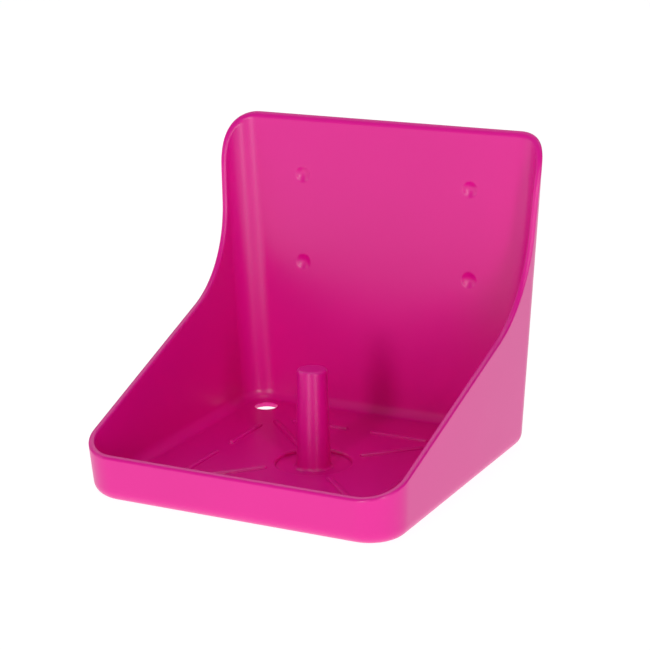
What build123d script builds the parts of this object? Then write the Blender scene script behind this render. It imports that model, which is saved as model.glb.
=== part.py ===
"""Wall-hung lick holder: an open moulded tray with a peg that a salt block drops over.

Frame: +Z up, the wall side faces +Y and the low lip faces -Y. The origin is at the
underside, in the middle of the overall width and depth.
"""

import os
from math import radians, tan

from build123d import *

os.makedirs("parts", exist_ok=True)

# Tray shell, in millimetres and degrees
base_width = 200.5        # left to right, at the underside
base_depth = 207.7        # front to back, at the underside
back_height = 195.1       # underside to the top edge of the back wall
lip_height = 28.1         # underside to the rim, on the outer face of the lip
side_draft = 3.3          # outward lean of each side wall
front_draft = 4.6         # outward lean of the lip
back_draft = 0.9          # outward lean of the back wall
wall = 3.9                # thickness of the upright walls
floor_thickness = 3.2
front_corner = 23.2       # outer plan radius beside the lip
back_corner = 20.9        # outer plan radius beside the back wall
foot_round = 8.1          # outer rounding from the walls into the underside
cove_round = 6.5          # inner rounding from the walls into the floor

# Rim line, seen from the side
rim_slope = 19.8          # fall of the straight part towards the lip
sweep_radius = 67.5       # hollow curve between the slope and the upright edge
upright_depth = 18.9      # underside's back line forward to the upright edge
upright_height = 145.6    # where that depth is measured
upright_lean = 5.0        # backward lean of the upright edge
shoulder_radius = 45.9    # round shoulder from the upright edge into the top
shoulder_rise = 7.6       # how far above the back wall's edge the shoulder would level out
rim_edge = 0.6            # broken corners all along the rim

# Shallow round marks in the inside of the back wall, where the wall screws go through
mark_spacing_x = 116.4
mark_spacing_z = 57.7
mark_low_row = 98.6       # height of the lower row
mark_diameter = 10.0
mark_depth = 1.3

# Raised ribs that hold the block off the floor
rib_width = 4.2
rib_height = 1.4
rib_bevel = 1.1           # bevelled sides of the ribs
rib_square = 125.6        # across the square, rib centre to rib centre
rib_gap = 15.7            # opening in the middle of each side of the square
rib_corner_gap = 15.0     # opening at each end of a side
diagonal_start = 29.5     # peg axis to the near end of a diagonal rib
diagonal_end = 82.0       # peg axis to the far end

# Drain holes in the corners of the floor
drain_diameter = 15.0
drain_side_inset = 22.2   # hole centre in from the side of the underside
drain_end_inset = 21.0    # hole centre in from its front or back

# Hole in the middle of the floor that the peg is pushed up through
well_diameter = 46.6
well_edge = 0.5           # broken upper edge of the hole
seat_width = 2.6          # step round the hole, in the underside, that the flange presses up against

# Peg and its flange
peg_top_diameter = 18.2
peg_foot_diameter = 21.0
peg_height = 59.1         # floor to the top of the peg
peg_wall = 2.6
peg_tip_bevel = 1.2
peg_foot_bevel = 2.2      # slope from the flange up into the peg
flange_thickness = 1.1
flange_clearance = 0.2    # round the edge of the flange

# Slopes and places worked out from the sizes above
side_fall = tan(radians(side_draft))
front_fall = tan(radians(front_draft))
back_fall = tan(radians(back_draft))
rim_fall = tan(radians(rim_slope))
upright_fall = tan(radians(upright_lean))
lip_front = -(base_depth + lip_height * front_fall + back_height * back_fall) / 2
front_foot = lip_front + lip_height * front_fall
back_foot = front_foot + base_depth
middle = (front_foot + back_foot) / 2
beyond = 2 * wall         # how far cutting shapes run past the shell
flange_diameter = well_diameter + 2 * seat_width
mark_radius = (mark_diameter**2 / 4 + mark_depth**2) / (2 * mark_depth)
seat_plane = Plane((0, middle, 0), x_dir=(1, 0, 0), z_dir=(0, 0, -1))
floor_plane = Plane((0, middle, floor_thickness))


def shell_block(inset, bottom, top, bottom_round):
    """Return the block between two levels that fills the walls' outer faces, drawn in by an inset."""

    def half_width(height):
        return base_width / 2 + height * side_fall - inset

    def front(height):
        return front_foot - height * front_fall + inset

    def back(height):
        return back_foot + height * back_fall - inset

    with BuildPart() as block:
        with BuildSketch(Plane.XZ):
            with BuildLine():
                Polyline((half_width(bottom), bottom), (half_width(top), top),
                         (-half_width(top), top), (-half_width(bottom), bottom), close=True)
            make_face()
        extrude(amount=base_depth, both=True)
        with BuildSketch(Plane.YZ):
            with BuildLine():
                Polyline((front(bottom), bottom), (front(top), top),
                         (back(top), top), (back(bottom), bottom), close=True)
            make_face()
        extrude(amount=base_width, both=True, mode=Mode.INTERSECT)
        fillet(block.edges().group_by(Axis.Z)[1].sort_by(Axis.Y)[:2], front_corner - inset)
        fillet(block.edges().group_by(Axis.Z)[1].sort_by(Axis.Y)[-2:], back_corner - inset)
        fillet(block.faces().sort_by(Axis.Z)[0].edges(), bottom_round)
    return block.part


def upright_at(height):
    """Return where the upright rim edge, run on straight, stands at a height."""
    return back_foot - upright_depth + (height - upright_height) * upright_fall


def mark_plane(height):
    """Return the plane of a row of screw marks, facing forward from the back wall."""
    return Plane((0, back_foot + height * back_fall - wall, height), x_dir=(1, 0, 0), z_dir=(0, -1, 0))


# Everything under the rim line: the slope and the upright edge would meet at the bend
slope_start = lip_front - beyond
slope_start_height = lip_height - beyond * rim_fall
bend_height = (slope_start_height + (upright_at(0) - slope_start) * rim_fall) / (1 - upright_fall * rim_fall)
shoulder_height = back_height + shoulder_rise
with BuildPart() as below_rim:
    with BuildSketch(Plane.YZ):
        with BuildLine():
            rim_line = FilletPolyline(
                (slope_start, slope_start_height),
                (upright_at(bend_height), bend_height),
                (upright_at(shoulder_height), shoulder_height),
                (upright_at(shoulder_height) + 2 * shoulder_radius, shoulder_height),
                radius=(sweep_radius, shoulder_radius),
            )
            Polyline(rim_line @ 1, ((rim_line @ 1).X, -beyond), (slope_start, -beyond), rim_line @ 0)
        make_face()
    extrude(amount=base_width, both=True)


def on_rim(edge):
    """Tell whether an edge runs along the rim, and isn't a seam across its width."""
    spot = edge @ 0.5
    return rim_line.distance_to(Vector(spot.Y, spot.Z)) < 0.01 and edge.length > 2 * wall


# Inside of the tray
cut_height = shoulder_height + beyond
cavity = shell_block(wall, floor_thickness, cut_height + beyond, cove_round)

# Tray
with BuildPart() as tray:
    add(shell_block(0, 0, cut_height, foot_round))
    add(cavity, mode=Mode.SUBTRACT)
    add(below_rim.part, mode=Mode.INTERSECT)
    chamfer(tray.edges().filter_by(on_rim), rim_edge)

    # Drains, and the stepped hole for the peg
    with Locations(floor_plane):
        with GridLocations(base_width - 2 * drain_side_inset, base_depth - 2 * drain_end_inset, 2, 2):
            Hole(drain_diameter / 2)
    with Locations(seat_plane):
        CounterBoreHole(well_diameter / 2, flange_diameter / 2 + flange_clearance, flange_thickness)
    chamfer(tray.edges(Select.LAST).sort_by(Axis.Z)[-1], well_edge)

    # Ribs in a broken square, and diagonals towards its corners
    rib_side = (rib_square - rib_gap) / 2 - rib_corner_gap
    rib_middle = (rib_gap + rib_side) / 2
    with BuildSketch(floor_plane):
        with PolarLocations(rib_square / 2, 4):
            with Locations((0, rib_middle), (0, -rib_middle)):
                SlotOverall(rib_side, rib_width, rotation=90)
        with PolarLocations((diagonal_start + diagonal_end) / 2, 4, start_angle=45):
            SlotOverall(diagonal_end - diagonal_start, rib_width)
    extrude(amount=rib_height)
    rib_tops = tray.faces(Select.LAST).group_by(Axis.Z)[-1]
    chamfer(rib_tops.edges(), rib_bevel)

    # Screw marks
    with Locations(mark_plane(mark_low_row), mark_plane(mark_low_row + mark_spacing_z)):
        with GridLocations(mark_spacing_x, 0, 2, 1):
            with Locations((0, 0, mark_radius - mark_depth)):
                Sphere(mark_radius, mode=Mode.SUBTRACT)

tray.part.label = "tray"
export_step(tray.part, "parts/tray.step")

# Peg, hollow from below, with the flange that fills the underside of its hole
peg_top = floor_thickness + peg_height
peg_axis = Axis((0, middle, 0), (0, 0, 1))
with BuildPart() as centre_peg:
    with BuildSketch(Plane.XZ.offset(-middle)):
        with BuildLine():
            Polyline(
                (0, peg_top),
                (peg_top_diameter / 2, peg_top),
                (peg_foot_diameter / 2, flange_thickness),
                (flange_diameter / 2, flange_thickness),
                (flange_diameter / 2, 0),
                (peg_foot_diameter / 2 - peg_wall, 0),
                (peg_top_diameter / 2 - peg_wall, peg_top - peg_wall),
                (0, peg_top - peg_wall),
                close=True,
            )
        make_face()
    revolve(axis=peg_axis)
    rings = centre_peg.edges().filter_by(GeomType.CIRCLE)
    peg_foot = rings.group_by(Axis.Z)[1].sort_by(SortBy.RADIUS)[0]
    chamfer(rings.sort_by(Axis.Z)[-1], peg_tip_bevel)
    chamfer(peg_foot, peg_foot_bevel)

centre_peg.part.label = "centre_peg"
export_step(centre_peg.part, "parts/centre_peg.step")
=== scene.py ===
"""Wall-hung lick holder in magenta plastic: the tray, and the peg pushed up through its floor."""

from math import cos, pi, radians, sin, tan

import bmesh
import bpy
import numpy as np
from mathutils import Matrix, Vector
from mathutils.geometry import tessellate_polygon


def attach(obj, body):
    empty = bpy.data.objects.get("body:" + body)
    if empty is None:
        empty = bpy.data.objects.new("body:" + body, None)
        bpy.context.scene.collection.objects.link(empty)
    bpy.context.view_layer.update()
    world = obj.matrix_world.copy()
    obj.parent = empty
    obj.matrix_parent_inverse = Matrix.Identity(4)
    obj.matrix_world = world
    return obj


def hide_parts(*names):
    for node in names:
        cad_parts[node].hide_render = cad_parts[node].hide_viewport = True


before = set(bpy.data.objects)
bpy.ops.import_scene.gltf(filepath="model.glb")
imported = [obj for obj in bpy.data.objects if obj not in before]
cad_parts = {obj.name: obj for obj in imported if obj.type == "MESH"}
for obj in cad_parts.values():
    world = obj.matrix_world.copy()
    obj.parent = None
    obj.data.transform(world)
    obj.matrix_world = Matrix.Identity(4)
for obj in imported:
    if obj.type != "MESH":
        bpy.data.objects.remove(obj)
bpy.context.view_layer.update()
MM = 0.001


# --- Tray -----------------------------------------------------------------------------
# One injection moulding in magenta polypropylene: a flat floor with drains and ribs, a low
# lip, two sloping sides and a tall back that hangs on a wall. Every edge is rounded a
# little, as a mould leaves it, and the screw marks are shallow dishes.

base_width = 200.5 * MM
base_depth = 207.7 * MM
back_height = 195.1 * MM
lip_height = 28.1 * MM
side_draft = radians(3.3)
front_draft = radians(4.6)
back_draft = radians(0.9)
wall = 3.9 * MM
floor_top = 3.2 * MM
front_corner = 23.2 * MM
back_corner = 20.9 * MM
foot_round = 8.1 * MM
cove_round = 6.5 * MM

rim_slope = radians(19.8)
sweep_radius = 67.5 * MM
upright_depth = 18.9 * MM
upright_height = 145.6 * MM
upright_lean = radians(5.0)
shoulder_radius = 45.9 * MM
shoulder_height = back_height + 7.6 * MM
rim_round = 1.4 * MM

mark_spacing_x = 116.4 * MM
mark_spacing_z = 57.7 * MM
mark_low_row = 98.6 * MM
mark_radius = 5.0 * MM
mark_depth = 1.3 * MM
mark_edge = 0.5 * MM
mark_middle = 0.2 * MM    # radius of the flat spot in the middle of a mark
mark_rings = 26
mark_steps = 48

rib_width = 4.2 * MM
rib_height = 1.4 * MM
rib_crown = radians(82)   # how far round its half oval a rib is drawn up
rib_rings = 10
rib_square = 125.6 * MM
rib_gap = 15.7 * MM
rib_corner_gap = 15.0 * MM
diagonal_start = 29.5 * MM
diagonal_end = 82.0 * MM

drain_radius = 7.5 * MM
drain_side_inset = 22.2 * MM
drain_end_inset = 21.0 * MM
drain_edge = 0.5 * MM
drain_steps = 56
well_radius = 23.3 * MM
well_edge = 1.4 * MM
seat_radius = 26.1 * MM
seat_height = 1.1 * MM
well_steps = 120

border = 0.35 * MM        # narrow flat ring beside every rounding, which keeps the flats' shading flat
crease = radians(40)      # edges that turn further than this stay crisp
arc_points = 9            # round the cove, the foot and a rib's end
edge_points = 6           # round a small edge
outside_rows = 20         # from the rim down to the foot
inside_rows = 26          # from the cove up to the rim

side_fall, front_fall, back_fall = tan(side_draft), tan(front_draft), tan(back_draft)
lip_front = -(base_depth + lip_height * front_fall + back_height * back_fall) / 2
front_foot = lip_front + lip_height * front_fall
back_foot = front_foot + base_depth
middle = (front_foot + back_foot) / 2


def rim_line(y):
    """Height of the rim over a depth: a slope, a hollow arc, a steep lean and a round shoulder.

    The slope and the lean are tangents of the hollow arc, and the lean and a level line are
    tangents of the shoulder, so each arc's centre is its radius away from both its tangents.
    """
    lean_foot = back_foot - upright_depth - upright_height * tan(upright_lean)
    slope_foot = lip_height - lip_front * tan(rim_slope)
    bend_y = (lean_foot + slope_foot * tan(upright_lean)) / (1 - tan(rim_slope) * tan(upright_lean))
    bend_z = slope_foot + bend_y * tan(rim_slope)
    reach = sweep_radius * tan((pi / 2 - upright_lean - rim_slope) / 2)
    sweep_start = bend_y - reach * cos(rim_slope)
    sweep_end = bend_y + reach * sin(upright_lean)
    sweep_y = sweep_start - sweep_radius * sin(rim_slope)
    sweep_z = bend_z - reach * sin(rim_slope) + sweep_radius * cos(rim_slope)
    reach = shoulder_radius * tan((pi / 2 - upright_lean) / 2)
    shoulder = lean_foot + shoulder_height * tan(upright_lean)
    shoulder_start = shoulder - reach * sin(upright_lean)
    shoulder_y = shoulder + reach
    shoulder_z = shoulder_height - shoulder_radius
    return np.select(
        [y < sweep_start, y < sweep_end, y < shoulder_start],
        [slope_foot + y * tan(rim_slope),
         sweep_z - np.sqrt(np.maximum(sweep_radius ** 2 - (y - sweep_y) ** 2, 0)),
         (y - lean_foot) / tan(upright_lean)],
        shoulder_z + np.sqrt(np.maximum(shoulder_radius ** 2 - (y - shoulder_y) ** 2, 0)))


def runs(height, inset):
    """Lengths of half the outline at a height, drawn in by an inset, its corner radii and its front.

    Half the outline is five runs from the middle of the lip to the middle of the back: half
    the lip, a corner arc, the side, a corner arc and half the back.
    """
    front_radius, back_radius = front_corner - inset, back_corner - inset
    half = base_width / 2 + height * side_fall - inset
    front = front_foot - height * front_fall + inset
    back = back_foot + height * back_fall - inset
    return [half - front_radius, front_radius * pi / 2, back - back_radius - front - front_radius,
            back_radius * pi / 2, half - back_radius], front_radius, back_radius, front


def outline(way, height, inset):
    """Point of the tray's skin: 0 to 5 along the way is the right half, and 5 to 10 the left.

    Its x and y add up the runs walked so far: straight ones along their wall, and arcs as a
    radius times the sine and 1 less the cosine of the angle turned through.
    """
    hand = np.where(way <= 5, 1, -1)
    way = np.where(way <= 5, way, 10 - way)
    lengths, front_radius, back_radius, front = runs(height, inset)
    done = [np.clip(way - run, 0, 1) for run in range(5)]
    front_turn, back_turn = done[1] * pi / 2, done[3] * pi / 2
    x = (done[0] * lengths[0] + front_radius * np.sin(front_turn)
         - back_radius * (1 - np.cos(back_turn)) - done[4] * lengths[4])
    y = (front + front_radius * (1 - np.cos(front_turn))
         + done[2] * lengths[2] + back_radius * np.sin(back_turn))
    return np.stack(np.broadcast_arrays(hand * x, y, height), axis=-1)


def along(way, step, height, inset):
    """Move along the outline by a length: turn the way into a length, add, and turn it back."""
    hand = np.where(way <= 5, 1, -1)
    way = np.where(way <= 5, way, 10 - way)
    lengths = runs(height, inset)[0]
    walked = sum(np.clip(way - run, 0, 1) * lengths[run] for run in range(5)) + hand * step
    moved, start = 0, 0
    for length in lengths:
        moved = moved + np.clip((walked - start) / length, 0, 1)
        start = start + length
    return np.where(hand > 0, moved, 10 - moved)


def rim_height(way, inset):
    """Height where the wall's face at an inset meets the rim.

    The rim line gives a height for the depth at a height, and repeating that settles it.
    """
    repeats = 60
    height = np.full_like(way, lip_height)
    for _ in range(repeats):
        height = rim_line(outline(way, height, inset)[..., 1])
    return height


def below_rim(way, inset, depth):
    """Way and height of the points at a depth square below the rim, on the wall's face.

    The rim's rise for each step along it comes from two points a hair's breadth apart. The
    depth runs back along the outline by its share of the rise, and down by the rest.
    """
    hair = 1e-5
    height = rim_height(way, inset)
    step = (outline(way + hair, rim_height(way + hair, inset), inset)
            - outline(way - hair, rim_height(way - hair, inset), inset))
    rise = step[..., 2] / np.linalg.norm(step[..., :2], axis=-1)
    lean = np.sqrt(1 + rise ** 2)
    return along(way, depth * rise / lean, height, inset), height - depth / lean


def spread(places, points, step):
    """Pick places on a line of points so that they lie about a step apart: equal shares of its length."""
    walked = np.concatenate([[0], np.cumsum(np.linalg.norm(np.diff(points, axis=0), axis=1))])
    return np.interp(np.linspace(0, walked[-1], round(walked[-1] / step) + 1), walked, places)


def quads(rows, columns, closed):
    """Corner numbers of a grid's faces, with the last column joined to the first if closed."""
    across = columns if closed else columns - 1
    row, column = np.meshgrid(np.arange(rows - 1) * columns, np.arange(across), indexing="ij")
    after = (column + 1) % columns
    faces = np.stack([row + column, row + after, row + columns + after, row + columns + column], axis=-1)
    return faces.reshape(-1, 4)


class Skin:
    """Patches of one closed surface, gathered and then welded where their edges share points."""

    def __init__(self):
        self.points, self.faces, self.count = [], [], 0

    def gather(self, points, faces):
        """Add points, and faces that number them from 0."""
        self.points.append(points)
        self.faces += (faces + self.count).tolist()
        self.count += len(points)

    def patch(self, grid, closed=True):
        """Add a grid of points, rows by columns, as four-sided faces."""
        self.gather(grid.reshape(-1, 3), quads(*grid.shape[:2], closed))

    def sheet(self, loops, across):
        """Fill flat loops, an outline and its holes, seen along an axis number, with triangles."""
        flat = [np.delete(loop, across, axis=1).tolist() for loop in loops]
        self.gather(np.concatenate(loops), np.array(tessellate_polygon(flat)))

    def build(self, name):
        """Weld the patches into one object whose faces point outwards, smooth up to the crease."""
        mesh = bpy.data.meshes.new(name)
        mesh.from_pydata(np.concatenate(self.points).tolist(), [], self.faces)
        whole = bmesh.new()
        whole.from_mesh(mesh)
        bmesh.ops.remove_doubles(whole, verts=whole.verts, dist=0.001 * MM)
        bmesh.ops.recalc_face_normals(whole, faces=whole.faces)
        whole.to_mesh(mesh)
        whole.free()
        mesh.shade_smooth()
        mesh.set_sharp_from_angle(angle=crease)
        piece = bpy.data.objects.new(name, mesh)
        bpy.context.scene.collection.objects.link(piece)
        return piece


tray_skin = Skin()

# Columns of the wall: a spacing in millimetres for each run, closest round the corners
run_spacings = (8.0, 1.6, 2.5, 1.6, 8.0)
close_points = np.linspace(0, 1, 4000)
half_ways = [np.zeros(1)]
for run, spacing in enumerate(run_spacings):
    tried = run + close_points
    half_ways.append(spread(tried, outline(tried, rim_height(tried, 0), 0), spacing * MM)[1:])
half_ways = np.concatenate(half_ways)
ways = np.concatenate([half_ways, 10 - half_ways[-2:0:-1]])

# Cove: a quarter circle from the floor up into the wall
turn = np.linspace(pi / 2, 0, arc_points)[:, None]
cove = np.concatenate([
    outline(ways, floor_top, wall + cove_round + border)[None],
    outline(ways, floor_top + cove_round * (1 - np.sin(turn)), wall + cove_round * (1 - np.cos(turn)))])
tray_skin.patch(cove)

# Rim: insets and depths over the wall's thickness, with a quarter circle at each edge, whose
# points lie near one of its sides and far from the other
turn = np.linspace(0, pi / 2, edge_points)
near, far = rim_round * (1 - np.cos(turn)), rim_round * (1 - np.sin(turn))
section = np.vstack([
    (wall, rim_round + border), np.stack([wall - near, far], axis=-1), (wall - rim_round - border, 0),
    (rim_round + border, 0), np.stack([far, near], axis=-1), (0, rim_round + border)])
inset, depth = section.T[:, :, None]
rim_ways, rim_heights = below_rim(ways, inset, depth)
rim = outline(rim_ways, rim_heights, inset)

# Outside: straight lines from the rim down to a quarter circle into the underside
part = np.linspace(0, 1, outside_rows)[1:-1, None]
turn = np.linspace(0, pi / 2, arc_points)[:, None]
outer = np.concatenate([
    rim,
    outline(rim_ways[-1] + (ways - rim_ways[-1]) * part,
            rim_heights[-1] + (foot_round - rim_heights[-1]) * part, 0),
    outline(ways, foot_round * (1 - np.sin(turn)), foot_round * (1 - np.cos(turn))),
    outline(ways, 0, foot_round + border)[None]])
tray_skin.patch(outer)

# Inside of the lip, the sides and the back corners: straight lines from the cove to the rim
part = np.linspace(0, 1, inside_rows)[1:-1, None]
foot = floor_top + cove_round
inner = np.concatenate([
    cove[-1:],
    outline(ways + (rim_ways[0] - ways) * part, foot + (rim_heights[0] - foot) * part, wall),
    rim[:1]])
right_end, left_end = np.argmin(np.abs(ways - 4)), np.argmin(np.abs(ways - 6))
tray_skin.patch(np.concatenate([inner[:, left_end:], inner[:, :right_end + 1]], axis=1), closed=False)


def dish(centre_x, centre_z):
    """Rings of a shallow bowl in the back wall: a sphere's cap, whose depth fades out softly.

    The depth is half the sum of the cap and the root of the cap's square plus the square of
    half the edge, less what the outermost ring has of it.
    """
    ball = (mark_radius ** 2 + mark_depth ** 2) / (2 * mark_depth)
    reach = np.linspace(mark_radius + 3 * mark_edge, mark_middle, mark_rings)[:, None]
    cap = mark_depth - ball + np.sqrt(ball ** 2 - reach ** 2)
    deep = (cap + np.sqrt(cap ** 2 + mark_edge ** 2 / 4)) / 2
    turn = np.arange(mark_steps) * 2 * pi / mark_steps
    up = centre_z + reach * np.sin(turn)
    y = back_foot + up * back_fall - wall + deep - deep[0]
    return np.stack([centre_x + reach * np.cos(turn), y, up], axis=-1)


# Inside of the back wall: one flat sheet with the four screw marks in it
dishes = [dish(x, z) for x in (-mark_spacing_x / 2, mark_spacing_x / 2)
          for z in (mark_low_row, mark_low_row + mark_spacing_z)]
for rings in dishes:
    tray_skin.patch(rings)
    tray_skin.sheet([rings[-1]], 1)
back_edge = np.concatenate([inner[0, right_end:left_end], inner[:-1, left_end],
                            inner[-1, left_end:right_end:-1], inner[:0:-1, right_end]])
tray_skin.sheet([back_edge, *[rings[0] for rings in dishes]], 1)


def turned(profile, centre_x, centre_y, steps):
    """Rings of a profile of radii and heights, carried round an upright axis."""
    turn = np.arange(steps) * 2 * pi / steps
    radius, height = profile.T[:, :, None]
    return np.stack(np.broadcast_arrays(
        centre_x + radius * np.cos(turn), centre_y + radius * np.sin(turn), height), axis=-1)


def rounded_edge(radius, height, size, start, end):
    """Arc of a profile, whose centre is out from the radius and down from the height by its size."""
    turn = np.linspace(start, end, edge_points)
    return np.stack([radius + size - size * np.cos(turn), height - size + size * np.sin(turn)], axis=-1)


# Drains and the stepped hole for the peg, with their edges rounded
drain_rim = drain_radius + drain_edge + border
drain_profile = np.vstack([
    (drain_rim, floor_top),
    rounded_edge(drain_radius, floor_top, drain_edge, pi / 2, 0),
    rounded_edge(drain_radius, 2 * drain_edge, drain_edge, 0, -pi / 2),
    (drain_rim, 0)])
well_profile = np.vstack([
    (well_radius + well_edge + border, floor_top),
    rounded_edge(well_radius, floor_top, well_edge, pi / 2, 0),
    (well_radius, seat_height), (seat_radius, seat_height), (seat_radius, 0)])
drain_x = base_width / 2 - drain_side_inset
drains = [turned(drain_profile, x, y, drain_steps) for x in (-drain_x, drain_x)
          for y in (front_foot + drain_end_inset, back_foot - drain_end_inset)]
well = turned(well_profile, 0, middle, well_steps)
for rings in (*drains, well):
    tray_skin.patch(rings)


def rib(centre_x, centre_y, angle, length):
    """Loops of a low ridge with round ends: each is a long loop, drawn in as it rises.

    A loop is two half circles, and the straight lines between them close it. Across the rib,
    its half width is the cosine of an angle and its height the sine: half an oval.
    """
    turn = np.linspace(-pi / 2, pi / 2, arc_points)
    turn = np.concatenate([turn, turn + pi])
    end = np.repeat([1, -1], arc_points) * (length - rib_width) / 2
    climb = np.linspace(0, rib_crown, rib_rings)[:, None]
    narrow = rib_width / 2 * np.cos(climb)
    x, y = end + narrow * np.cos(turn), narrow * np.sin(turn)
    return np.stack(np.broadcast_arrays(
        centre_x + x * cos(angle) - y * sin(angle),
        centre_y + x * sin(angle) + y * cos(angle),
        floor_top + rib_height * np.sin(climb) / sin(rib_crown)), axis=-1)


# Ribs: a broken square round the peg, and diagonals towards its corners
side_length = (rib_square - rib_gap) / 2 - rib_corner_gap
side_shift = (rib_gap + side_length) / 2
diagonal_length = diagonal_end - diagonal_start
diagonal_reach = (diagonal_start + diagonal_end) / 2
ribs = []
for facing in np.arange(4) * pi / 2:
    for shift in (-side_shift, side_shift):
        ribs.append(rib(rib_square / 2 * cos(facing) - shift * sin(facing),
                        middle + rib_square / 2 * sin(facing) + shift * cos(facing),
                        facing + pi / 2, side_length))
    diagonal = facing + pi / 4
    ribs.append(rib(diagonal_reach * cos(diagonal), middle + diagonal_reach * sin(diagonal),
                    diagonal, diagonal_length))
for loops in ribs:
    tray_skin.patch(loops)
    tray_skin.sheet([loops[-1]], 2)

# Floor and underside, with what stands on them or goes through them left open
tray_skin.sheet([cove[0], *[rings[0] for rings in (*drains, well, *ribs)]], 2)
tray_skin.sheet([outer[-1], *[rings[-1] for rings in (*drains, well)]], 2)
tray_shell = tray_skin.build("tray_shell")


class Socket:
    """A node's output, on which sums add Math nodes. With no output it stands for its node tree."""

    def __init__(self, tree, output=None):
        self.tree, self.output = tree, output

    def node(self, kind, settings, values, output=0):
        """Add a node: its type, its settings, what goes into its sockets, and which output to give."""
        node = self.tree.nodes.new(kind)
        for name, value in settings.items():
            setattr(node, name, value)
        for name, value in values.items():
            self.plug(pick(node.inputs, name), value)
        return Socket(self.tree, pick(node.outputs, output))

    def plug(self, slot, value):
        """Link a Socket to an input, or set a plain value on it."""
        if isinstance(value, Socket):
            self.tree.links.new(value.output, slot)
        else:
            slot.default_value = value

    def math(self, operation, *values):
        return self.node("ShaderNodeMath", {"operation": operation}, dict(enumerate(values)))

    def sine(self):
        return self.math("SINE", self)

    def __add__(self, other):
        return self.math("ADD", self, other)

    def __mul__(self, other):
        return self.math("MULTIPLY", self, other)

    def __sub__(self, other):
        return self.math("SUBTRACT", self, other)

    def __rsub__(self, other):
        return self.math("SUBTRACT", other, self)

    __radd__ = __add__
    __rmul__ = __mul__


def pick(sockets, name):
    """Socket of a number, or the first one in use of a name."""
    if isinstance(name, int):
        return sockets[name]
    return next(socket for socket in sockets if socket.name == name and socket.enabled)


magenta = (0.785, 0.0010, 0.295, 1)
light_magenta = (0.86, 0.0016, 0.33, 1)
ring_pitch = 0.45 * MM


def moulded_plastic(name, roughness, ring_depth):
    """Magenta plastic with the faint waves and fine grain of its mould.

    The surface's height, in millimetres, is two sizes of noise, plus a sine of the height
    above the floor for the rings of a turned mould. The colour leans between two close pinks
    by a third noise. A scale is the number of waves in a metre.
    """
    material = bpy.data.materials.new(name)
    material.use_nodes = True
    shader = material.node_tree.nodes["Principled BSDF"].inputs
    nodes = Socket(material.node_tree)
    place = nodes.node("ShaderNodeTexCoord", {}, {}, "Object")
    wave = nodes.node("ShaderNodeTexNoise", {}, {"Vector": place, "Scale": 22.0, "Detail": 1.0})
    grain = nodes.node("ShaderNodeTexNoise", {}, {"Vector": place, "Scale": 1400.0, "Detail": 0.0})
    cloud = nodes.node("ShaderNodeTexNoise", {}, {"Vector": place, "Scale": 9.0, "Detail": 2.0})
    height = wave * 0.12 + grain * 0.004
    if ring_depth:
        up = nodes.node("ShaderNodeSeparateXYZ", {}, {"Vector": place}, "Z")
        height = height + (up * (2 * pi / ring_pitch)).sine() * ring_depth
    bump = nodes.node("ShaderNodeBump", {}, {"Height": height, "Strength": 1.0, "Distance": MM})
    tint = nodes.node("ShaderNodeMix", {"data_type": "RGBA"},
                      {"Factor": cloud, "A": magenta, "B": light_magenta}, "Result")
    nodes.plug(shader["Base Color"], tint)
    nodes.plug(shader["Normal"], bump)
    shader["Roughness"].default_value = roughness
    shader["IOR"].default_value = 1.54
    return material


tray_shell.data.materials.append(moulded_plastic("tray_plastic", 0.31, 0))
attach(tray_shell, "root")
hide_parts("tray")


# --- Peg ------------------------------------------------------------------------------
# The post that the salt block drops over: a hollow tapered moulding in the same plastic,
# pushed up through the floor until its flange sits in the step under it, where it is
# welded. The flange is dished a little towards the post.

peg_height = 59.1 * MM
tip_radius = 9.1 * MM
foot_radius = 10.5 * MM
peg_wall = 2.6 * MM
tip_round = 1.6 * MM
foot_hollow = 2.2 * MM
bore_round = 0.5 * MM
flange_radius = 25.9 * MM
flange_thickness = 1.1 * MM
flange_dish = 0.7 * MM
flange_round = 0.3 * MM
peg_steps = 96


def bend(radius, before, corner, after, count):
    """Arc that rounds a corner of a profile: tangents from the corner, and a centre on its bisector.

    Between its two ends, seen from the centre, a point is their mix by the sines of the angles
    still to turn and turned already.
    """
    leg_in, leg_out = np.subtract(before, corner), np.subtract(after, corner)
    leg_in, leg_out = leg_in / np.linalg.norm(leg_in), leg_out / np.linalg.norm(leg_out)
    half_angle = np.arccos(leg_in @ leg_out) / 2
    bisector = (leg_in + leg_out) / np.linalg.norm(leg_in + leg_out)
    centre = corner + bisector * radius / sin(half_angle)
    start = corner + leg_in * radius / tan(half_angle) - centre
    end = corner + leg_out * radius / tan(half_angle) - centre
    whole_turn = pi - 2 * half_angle
    turn = np.linspace(0, whole_turn, count)[:, None]
    return centre + (np.sin(whole_turn - turn) * start + np.sin(turn) * end) / sin(whole_turn)


peg_top = floor_top + peg_height
top_middle = (0, peg_top)
tip = (tip_radius, peg_top)
foot = (foot_radius, flange_thickness - flange_dish)
flange_edge = (flange_radius, flange_thickness)
flange_under = (flange_radius, 0)
bore_foot = (foot_radius - peg_wall, 0)
bore_top = (tip_radius - peg_wall, peg_top - peg_wall)
bore_middle = (0, peg_top - peg_wall)
peg_profile = np.vstack([
    top_middle,
    bend(tip_round, top_middle, tip, foot, 9),
    bend(foot_hollow, tip, foot, flange_edge, 12),
    bend(flange_round, foot, flange_edge, flange_under, 4),
    bend(flange_round, flange_edge, flange_under, bore_foot, 4),
    bend(bore_round, flange_under, bore_foot, bore_top, 4),
    bend(bore_round, bore_foot, bore_top, bore_middle, 4),
    bore_middle])
peg_skin = Skin()
peg_skin.patch(turned(peg_profile, 0, middle, peg_steps))
peg_post = peg_skin.build("peg_post")
peg_post.data.materials.append(moulded_plastic("peg_plastic", 0.32, 0.013))
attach(peg_post, "root")
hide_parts("centre_peg")


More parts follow.
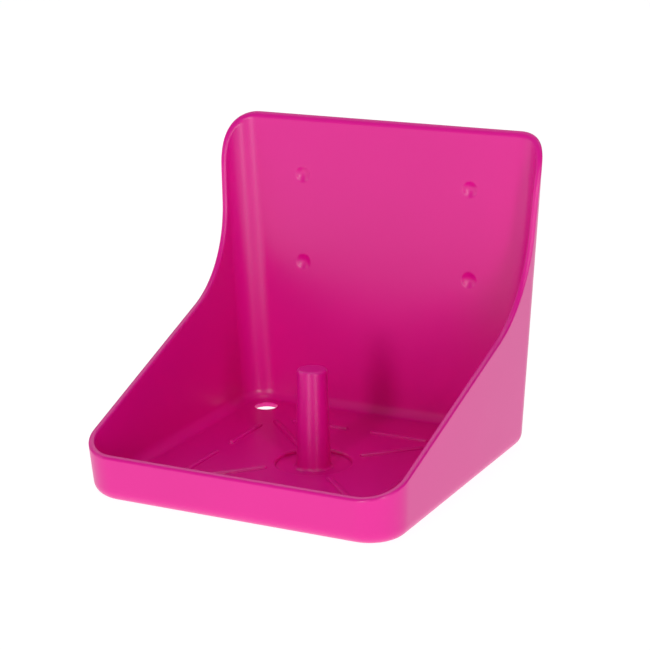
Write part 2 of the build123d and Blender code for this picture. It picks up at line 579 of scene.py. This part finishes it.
# --- Studio floor -----------------------------------------------------------------------
# A wide white table of matt board, lit through from below, so that it stays white right up
# to the tray. The white room round it gives a little light from every side.

floor_half = 6.0
mesh = bpy.data.meshes.new("floor")
mesh.from_pydata([(-floor_half, -floor_half, 0), (floor_half, -floor_half, 0),
                  (floor_half, floor_half, 0), (-floor_half, floor_half, 0)], [], [(0, 1, 2, 3)])
floor = bpy.data.objects.new("floor", mesh)
bpy.context.scene.collection.objects.link(floor)
floor_white = bpy.data.materials.new("floor_white")
floor_white.use_nodes = True
board = floor_white.node_tree.nodes["Principled BSDF"].inputs
board["Base Color"].default_value = (0.15, 0.15, 0.15, 1)
board["Roughness"].default_value = 1.0
board["Emission Color"].default_value = (1, 1, 1, 1)
board["Emission Strength"].default_value = 0.95
mesh.materials.append(floor_white)

room = bpy.data.worlds.new("studio")
room.use_nodes = True
sky = room.node_tree.nodes["Background"].inputs
sky["Color"].default_value = (1, 1, 1, 1)
sky["Strength"].default_value = 0.15
bpy.context.scene.world = room


# --- Studio lights ----------------------------------------------------------------------
# Softboxes on stands: two tall ones in front of the lip, left and right of the camera, a
# small one above each, and dimmer ones low, beside, above and behind the tray.

aim = Vector((0.0105, -0.0030, 0.0915))
light_distance = 2.5


def direction(azimuth, elevation):
    """Unit vector out to an azimuth, which is 0 in front and grows to the right, and an elevation."""
    turn, rise = radians(azimuth), radians(elevation)
    return Vector((sin(turn) * cos(rise), -cos(turn) * cos(rise), sin(rise)))


def softbox(name, azimuth, elevation, width, height, watts):
    """Square-cornered light of a width and a height in metres, facing the tray."""
    lamp = bpy.data.lights.new(name, "AREA")
    lamp.shape = "RECTANGLE"
    lamp.size = width
    lamp.size_y = height
    lamp.energy = watts
    box = bpy.data.objects.new(name, lamp)
    box.location = aim + direction(azimuth, elevation) * light_distance
    box.rotation_euler = direction(azimuth, elevation).to_track_quat("Z", "Y").to_euler()
    bpy.context.scene.collection.objects.link(box)


softbox("left_softbox", 1, 11, 0.3, 1.1, 9)
softbox("right_softbox", 51, 11, 0.3, 1.1, 11.5)
softbox("low_softbox", 1, 2, 0.5, 0.3, 2)
softbox("left_high_softbox", 1, 32, 0.25, 0.3, 4.5)
softbox("right_high_softbox", 51, 32, 0.25, 0.3, 3.5)
softbox("side_softbox", -60, 15, 1.0, 1.0, 5)
softbox("top_softbox", 27, 88, 1.0, 1.0, 4)
softbox("back_softbox", 207, 55, 2.4, 1.6, 13)
softbox("corner_softbox", -100, 35, 1.0, 1.0, 3)


# --- Camera -----------------------------------------------------------------------------
# A full-frame camera with a long lens, on a stand to the right of the lip and a little
# above the tray, rolled by less than a degree.

view_azimuth, view_elevation = 27.27, 16.09
view_roll = radians(-0.87)
view_distance = 1.2054

camera = bpy.data.objects.new("camera", bpy.data.cameras.new("camera"))
bpy.context.scene.collection.objects.link(camera)
camera.data.lens = 112.79
back = direction(view_azimuth, view_elevation)
right = direction(view_azimuth + 90, 0)
up = back.cross(right)
camera.matrix_world = Matrix((right * cos(view_roll) + up * sin(view_roll),
                              up * cos(view_roll) - right * sin(view_roll), back)).transposed().to_4x4()
camera.location = aim + back * view_distance
bpy.context.scene.camera = camera
bpy.context.scene.view_settings.view_transform = "Standard"
